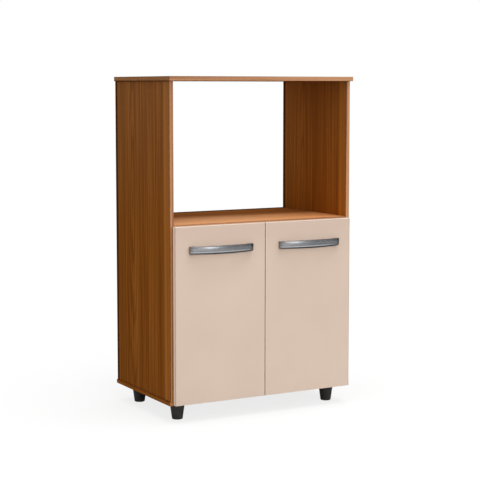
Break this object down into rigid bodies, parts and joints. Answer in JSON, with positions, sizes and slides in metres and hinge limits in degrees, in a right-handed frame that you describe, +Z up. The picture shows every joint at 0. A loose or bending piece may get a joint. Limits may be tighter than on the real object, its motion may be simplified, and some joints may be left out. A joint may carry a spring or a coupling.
{
  "type": "microwave cabinet",
  "caption": "Free-standing kitchen cabinet with an open microwave niche over a cupboard with two hinged doors, bow handles and tapered feet.",
  "frame": {"origin": "on the floor, under the middle of the whole cabinet's box", "axes": "+Z up, -Y towards the front with the doors, +X to the right seen from the front"},
  "size_m": [0.62, 0.4238, 1.001],
  "materials": {
    "wood_laminate": "reddish-brown wood-grain laminate, satin",
    "edge_band": "lighter wood-grain edge band, satin",
    "hardboard": "smooth brown hardboard",
    "beige_door": "beige foil on fibreboard, satin",
    "silver_handle": "satin silver",
    "black_plastic": "moulded matt black",
    "brown_plastic": "moulded brown",
    "bumper_pad": "soft pale pad",
    "dowel_wood": "fluted beech",
    "zinc_steel": "zinc plated",
    "nickel_steel": "nickel plated"
  },
  "bodies": {
    "carcass": {"back_left_foot": "black_plastic", "back_panel": "hardboard", "back_panel_nails": "zinc_steel", "back_right_foot": "black_plastic", "bottom_edge_band": "edge_band", "bottom_panel": "wood_laminate", "bottom_screws": "zinc_steel", "cam_bolts": "zinc_steel", "cam_discs": "zinc_steel", "door_bumpers": "bumper_pad", "foot_screws": "zinc_steel", "front_left_foot": "black_plastic", "front_right_foot": "black_plastic", "hinge_arm_screws": "zinc_steel", "hinge_plate_screws": "zinc_steel", "inner_shelf": "wood_laminate", "left_lower_hinge_arm": "nickel_steel", "left_lower_hinge_plate": "nickel_steel", "left_side_edge_band": "edge_band", "left_side_panel": "wood_laminate", "left_upper_hinge_arm": "nickel_steel", "left_upper_hinge_plate": "nickel_steel", "microwave_shelf": "wood_laminate", "right_lower_hinge_arm": "nickel_steel", "right_lower_hinge_plate": "nickel_steel", "right_side_edge_band": "edge_band", "right_side_panel": "wood_laminate", "right_upper_hinge_arm": "nickel_steel", "right_upper_hinge_plate": "nickel_steel", "shelf_edge_band": "edge_band", "shelf_pins": "zinc_steel", "top_edge_band": "edge_band", "top_panel": "wood_laminate", "top_screw_caps": "brown_plastic", "top_screws": "zinc_steel", "wood_dowels": "dowel_wood"},
    "left_door": {"left_door": "beige_door", "left_door_handle": "silver_handle", "left_door_handle_screws": "zinc_steel", "left_door_hinge_screws": "zinc_steel", "left_upper_hinge_cup": "nickel_steel", "left_upper_hinge_pin": "nickel_steel", "left_lower_hinge_cup": "nickel_steel", "left_lower_hinge_pin": "nickel_steel"},
    "right_door": {"right_door": "beige_door", "right_door_handle": "silver_handle", "right_door_handle_screws": "zinc_steel", "right_door_hinge_screws": "zinc_steel", "right_upper_hinge_cup": "nickel_steel", "right_upper_hinge_pin": "nickel_steel", "right_lower_hinge_cup": "nickel_steel", "right_lower_hinge_pin": "nickel_steel"}
  },
  "joints": [
    {"name": "left_door_hinge", "type": "hinge", "parent": "carcass", "child": "left_door", "pos_m": [-0.291, -0.1771, 0.3135], "axis": [0, 0, -1], "range_deg": [0, 95]},
    {"name": "right_door_hinge", "type": "hinge", "parent": "carcass", "child": "right_door", "pos_m": [0.291, -0.1771, 0.3135], "axis": [0, 0, 1], "range_deg": [0, 95]}
  ]
}
